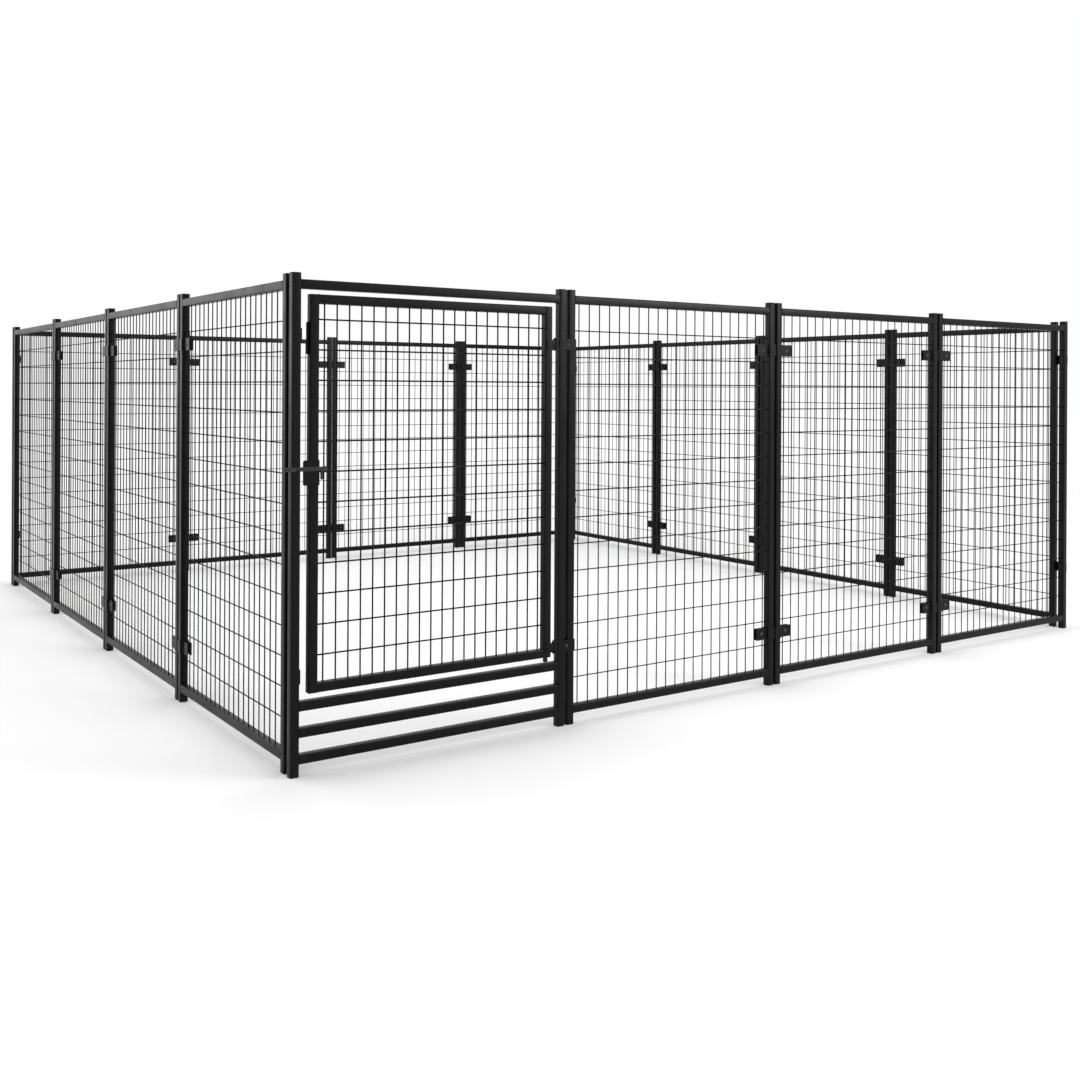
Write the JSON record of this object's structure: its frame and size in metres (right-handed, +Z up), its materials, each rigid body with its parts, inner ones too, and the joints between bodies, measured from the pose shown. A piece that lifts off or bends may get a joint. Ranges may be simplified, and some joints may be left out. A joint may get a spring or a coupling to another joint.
{
  "type": "dog kennel run",
  "caption": "Square open-topped dog run of welded wire panels on square tube frames, bolted together with clamps, with a hinged gate and a lift latch in the front.",
  "frame": {"origin": "on the ground under the middle of the run's bounding box", "axes": "+X to the right along the front, +Y from the front with the gate to the rear, +Z up"},
  "size_m": [4.9632, 5.0558, 1.83],
  "materials": {
    "frame_coat": "satin black powder coat",
    "wire_coat": "satin black powder coat",
    "hardware_coat": "semi-gloss black powder coat",
    "fastener_coat": "blackened steel",
    "cap_plastic": "black moulded plastic"
  },
  "bodies": {
    "run": {"front_panel_2_frame": "frame_coat", "front_panel_3_frame": "frame_coat", "front_panel_4_frame": "frame_coat", "right_panel_1_frame": "frame_coat", "right_panel_2_frame": "frame_coat", "right_panel_3_frame": "frame_coat", "right_panel_4_frame": "frame_coat", "rear_panel_1_frame": "frame_coat", "rear_panel_2_frame": "frame_coat", "rear_panel_3_frame": "frame_coat", "rear_panel_4_frame": "frame_coat", "left_panel_1_frame": "frame_coat", "left_panel_2_frame": "frame_coat", "left_panel_3_frame": "frame_coat", "left_panel_4_frame": "frame_coat", "front_panel_2_mesh": "wire_coat", "front_panel_3_mesh": "wire_coat", "front_panel_4_mesh": "wire_coat", "right_panel_1_mesh": "wire_coat", "right_panel_2_mesh": "wire_coat", "right_panel_3_mesh": "wire_coat", "right_panel_4_mesh": "wire_coat", "rear_panel_1_mesh": "wire_coat", "rear_panel_2_mesh": "wire_coat", "rear_panel_3_mesh": "wire_coat", "rear_panel_4_mesh": "wire_coat", "left_panel_1_mesh": "wire_coat", "left_panel_2_mesh": "wire_coat", "left_panel_3_mesh": "wire_coat", "left_panel_4_mesh": "wire_coat", "gate_surround": "frame_coat", "post_caps": "cap_plastic", "post_feet": "cap_plastic", "clamp_outer_halves": "hardware_coat", "clamp_inner_halves": "hardware_coat", "clamp_bolts": "fastener_coat", "clamp_nuts": "fastener_coat", "corner_straps": "hardware_coat", "corner_screws": "fastener_coat", "hinge_post_bands": "hardware_coat", "hinge_back_bands": "hardware_coat", "hinge_bolts": "fastener_coat", "hinge_nuts": "fastener_coat", "hinge_pins": "fastener_coat", "latch_stud": "hardware_coat"},
    "gate": {"gate_leaf_frame": "frame_coat", "gate_leaf_mesh": "wire_coat", "leaf_caps": "cap_plastic", "hinge_leaf_bands": "hardware_coat", "latch_bracket": "hardware_coat", "latch_pivot": "fastener_coat", "latch_nut": "fastener_coat", "stop_lug": "hardware_coat"},
    "latch": {"latch_arm": "hardware_coat"}
  },
  "joints": [
    {"name": "gate_swing", "type": "hinge", "parent": "run", "child": "gate", "pos_m": [-1.2786, -2.5083, 1], "axis": [0, 0, 1], "range_deg": [0, 95]},
    {"name": "latch_lift", "type": "hinge", "parent": "gate", "child": "latch", "pos_m": [-2.3571, -2.4967, 1.116], "axis": [0, 1, 0], "range_deg": [0, 85]}
  ]
}
